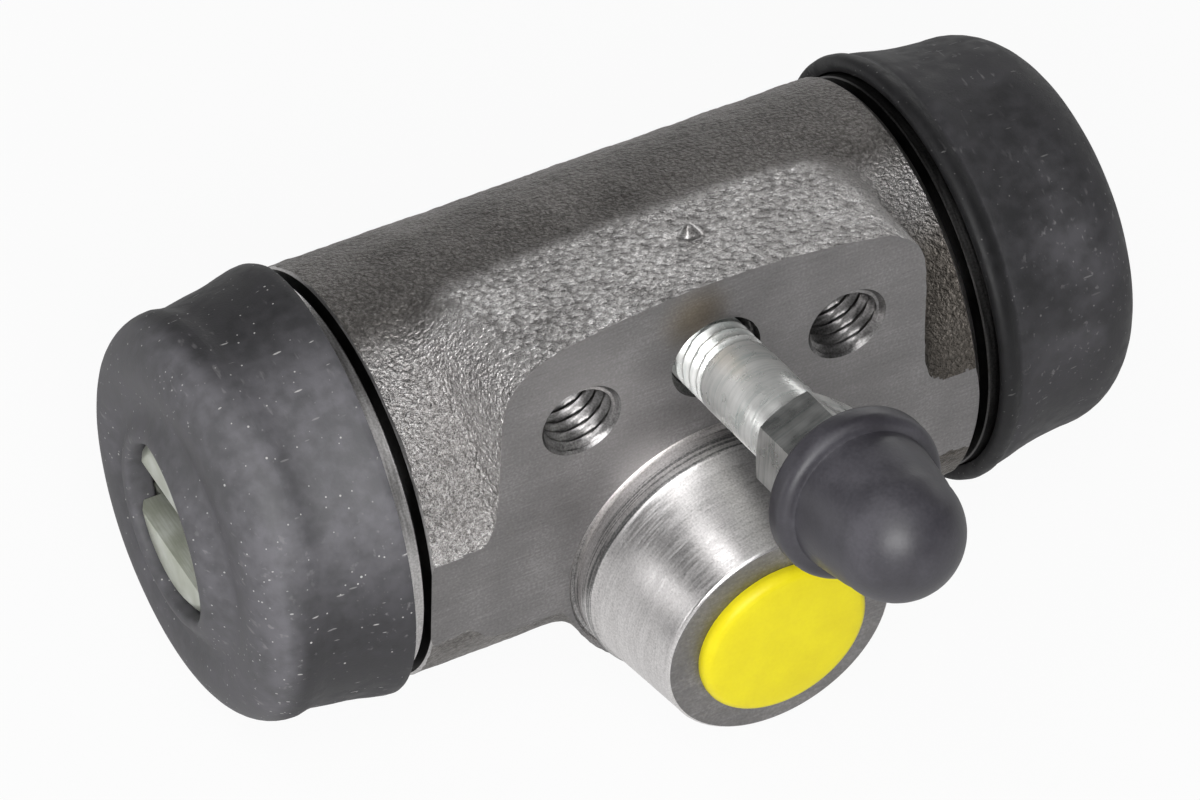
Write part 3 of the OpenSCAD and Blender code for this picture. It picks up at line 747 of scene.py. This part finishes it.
half_spring("left_half_spring", on_left @ Matrix.Rotation(math.pi, 4, "Z"))
half_spring("right_half_spring", on_right)

# Bleed screw: zinc plated steel with a coarse thread, a turned shank, a hexagon and a barbed hose nipple.
# It is screwed into the pad over the boss, leaning up a little, with a few turns of thread in sight.
zinc, shader, place = new_finish("zinc_plated_steel")
leaned = place.node("ShaderNodeMapping", {"Vector": place, "Rotation": (bleed_tilt, 0, 0)})
rings = grain(leaned, 0.22, 2, (0.04, 1, 0.04))
smears = grain(place, 1.6, 3)
tone = rings * 0.6 + smears * 0.4
# The hexagon was drawn bright, and the turned thread and shank before it are duller.
on_hexagon = ways(leaned)[1].between(-15.9 * mm, -15.5 * mm, 1, 0)
feed(shader,
     Metallic=on_hexagon * 0.4 + 0.6,
     Base_Color=shade(tone, (0.34, (0.6, 0.645, 0.625)), (0.5, (0.78, 0.785, 0.765)),
                      (0.66, (0.9, 0.905, 0.885))),
     Roughness=smears.between(0.3, 0.7, 0.24, 0.36),
     Normal=relief(rings * (1 - on_hexagon * 0.7), 0.04, 0.7))

hex_foot, hex_end, hex_turn, across_flats = 12.0, 18.0, math.radians(22), 7.0
hex_corner = across_flats / 2 / math.cos(math.radians(30))
bpy.ops.object.select_all(action="DESELECT")
bpy.ops.mesh.primitive_cylinder_add(vertices=6, radius=hex_corner * mm, depth=(hex_end - hex_foot) * mm)
hexagon = bpy.context.object
# A six-sided cylinder starts with a corner on Y, so a quarter turn puts it on X first.
hexagon.matrix_world = on_bleed @ Matrix.Translation((0, 0, (hex_foot + hex_end) / 2 * mm)) @ Matrix.Rotation(
    math.radians(90) + hex_turn, 4, "Z")
bpy.ops.object.transform_apply(location=True, rotation=True, scale=True)
chamfers = [(0, hex_foot), (3.45, hex_foot), (4.3, hex_foot + 0.5)]
chamfers += [(4.3, hex_end - 0.5), (3.45, hex_end), (0, hex_end)]
combine(hexagon, turn("hexagon_chamfers", chamfers, on_bleed, 128), "INTERSECT")
shank = [(0, 2.4), (2.4, 2.4), (2.6, 2.75), (2.9, 3.0), (2.95, 3.2), (2.95, hex_foot - 0.25)]
shank += [(2.9, hex_foot - 0.1), (2.9, hex_foot + 1), (0, hex_foot + 1)]
bleed_screw = threaded("bleed_screw_turned", 2.42, 2.93, 1.0, -9, 2.8, on_bleed, 64)
combine(bleed_screw, turn("shank", shank, on_bleed), "UNION")
combine(bleed_screw, hexagon, "UNION")
nipple = [(0, 17), (2.3, 17), (2.3, 23.6), (2.95, 24.0), (3.0, 24.1), (3.0, 25.0), (2.3, 26.7)]
nipple += [(2.2, 26.8), (0, 26.8)]
combine(bleed_screw, turn("nipple", nipple, on_bleed, 64), "UNION")
passage = [(0, 15), (0.8, 15), (0.8, 30), (0, 30)]
combine(bleed_screw, turn("bleed_passage", passage, on_bleed, 32), "DIFFERENCE")
tip = [(0, -8.5), (2.5, -8.5), (2.5, -9.4), (1.1, -10.9), (0, -11)]
combine(bleed_screw, turn("bleed_tip", tip, on_bleed, 64), "UNION")
apply_modifier(bleed_screw, "BEVEL", width=0.06 * mm, segments=2, limit_method="ANGLE",
               angle_limit=math.radians(40))
smooth(bleed_screw, 32)
dress(bleed_screw, zinc)
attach(bleed_screw, "bleeder")
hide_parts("bleed_screw")

# Bleed cap: a moulded soft rubber cap with a rolled rim and a domed end, pushed over the nipple.
# Its surface is smoother and a little more violet than the boots.
cap_rubber, shader, place = new_finish("cap_rubber")
clouds = grain(place, 4, 3)
pores = grain(place, 0.25, 2)
film = clouds * 0.75 + pores * 0.25
feed(shader,
     Base_Color=shade(film, (0.34, (0.03, 0.028, 0.034)), (0.5, (0.043, 0.041, 0.049)),
                      (0.68, (0.068, 0.065, 0.076))),
     Roughness=film.between(0.35, 0.65, 0.4, 0.54),
     Normal=relief(pores, 0.03, 0.35))
cap_foot, cap_end, dome_r, hollow_r, hollow_end = 18.4, 29.8, 4.75, 3.05, 27.2
dome_z = cap_end - dome_r
cap = [(hollow_r, cap_foot), (5.6, cap_foot)] + arc(5.65, cap_foot + 0.7, 0.7, -85, 0, 5)
cap += arc(5.55, cap_foot + 1.45, 0.8, 0, 80, 6) + [(5.5, cap_foot + 2.24), (5.36, cap_foot + 2.3)]
cap += [(5.3, cap_foot + 2.5), (5.3, cap_foot + 3.0), (4.92, dome_z - 0.8)]
cap += arc(0, dome_z, dome_r, 0, 90, 16)[:-1] + [(0, cap_end), (0, hollow_end)]
cap += [(hollow_r, hollow_end), (hollow_r, cap_foot)]
bleed_cap = turn("bleed_cap_moulded", cap, on_bleed, 96)
smooth(bleed_cap, 45)
dress(bleed_cap, cap_rubber)
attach(bleed_cap, "bleeder_cap")
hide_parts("bleed_cap")

# Port plug: a bright yellow moulded plastic stopper with a low round head, pressed into the inlet port.
# Its edge is rounded and its face is a little crowned.
plug_yellow, shader, place = new_finish("yellow_plastic")
clouds = grain(place, 3, 2)
grit = grain(place, 0.3, 2)
film = clouds * 0.7 + grit * 0.3
feed(shader,
     Base_Color=shade(film, (0.35, (0.77, 0.65, 0.008)), (0.65, (0.83, 0.72, 0.015))),
     Roughness=film.between(0.35, 0.65, 0.36, 0.5),
     Normal=relief(grit, 0.02, 0.25))
shader.inputs["Specular IOR Level"].default_value = 0.25
head_z = boss_l + 0.02
plug = [(0, head_z - 1.1), (3.75, head_z - 1.1), (3.75, head_z - 6.5), (4.3, head_z - 6.5)]
plug += [(4.5, head_z - 6.3), (4.5, head_z - 0.5), (4.6, head_z), (6.5, head_z)]
plug += arc(5.75, head_z + 0.3, 0.8, 0, 80, 8)
plug += [(5.2, head_z + 1.16), (4.0, head_z + 1.22), (2.0, head_z + 1.25), (0, head_z + 1.25)]
port_plug = turn("port_plug_moulded", plug, on_pilot, 96)
smooth(port_plug, 40)
dress(port_plug, plug_yellow)
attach(port_plug, "inlet_plug")
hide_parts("port_plug")
